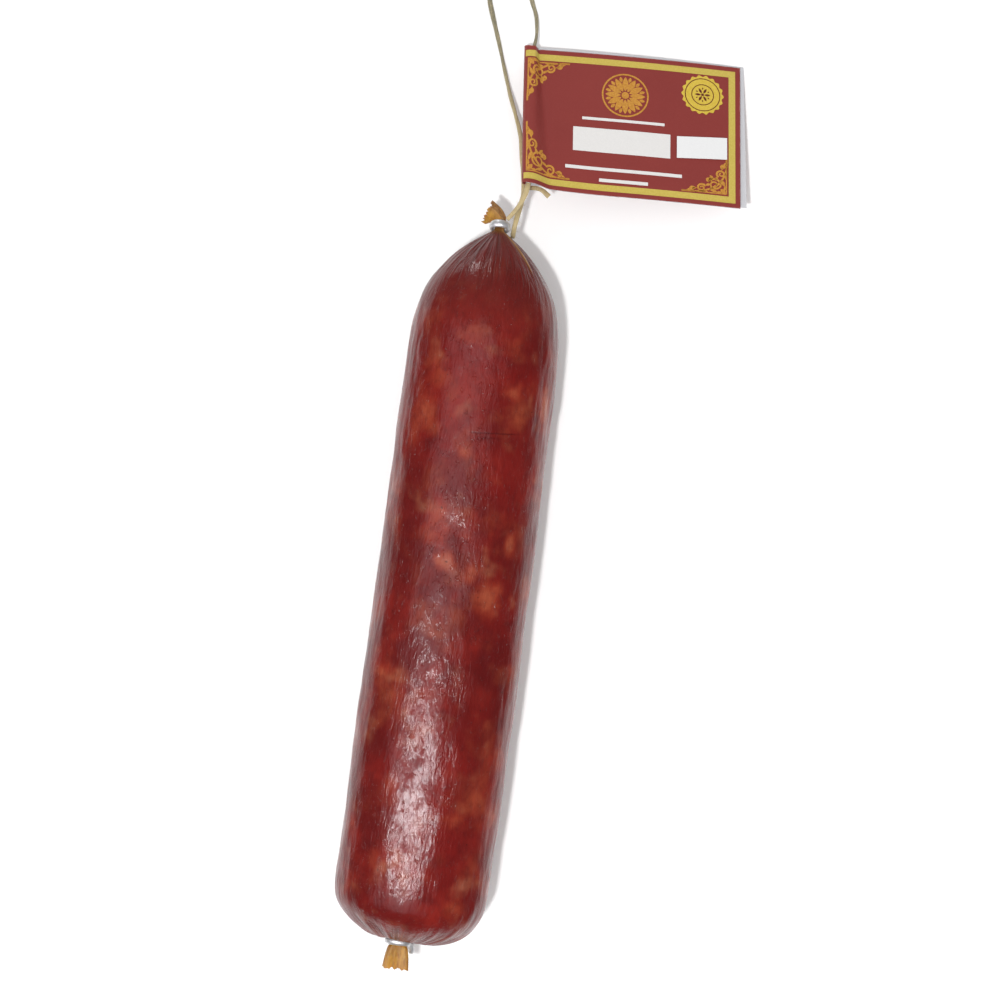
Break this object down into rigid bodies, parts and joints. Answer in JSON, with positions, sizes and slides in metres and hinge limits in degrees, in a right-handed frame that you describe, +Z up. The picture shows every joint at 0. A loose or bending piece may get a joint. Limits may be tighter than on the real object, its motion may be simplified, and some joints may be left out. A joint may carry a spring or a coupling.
{
  "type": "cured sausage",
  "caption": "Smoked pork sausage in a clipped casing, lying down, with its hanging string loop and a folded card tag.",
  "frame": {"origin": "middle of the flattened strip that the sausage rests on, on the surface", "axes": "+Y along the sausage towards its hanging end, +Z up from the surface, +X towards the tag's side"},
  "size_m": [0.1051, 0.348, 0.0497],
  "materials": {
    "casing": "glossy, smoked",
    "clip_wire": "bright",
    "string": "dull twisted twine",
    "tag_card": "printed, satin",
    "gold_print": "printed, satin",
    "white_paper": "matte"
  },
  "bodies": {
    "root": {"sausage": "casing", "upper_clip": "clip_wire", "lower_clip": "clip_wire", "string_loop": "string", "string_end": "string", "tag": "tag_card", "sticker": "white_paper"}
  },
  "joints": []
}
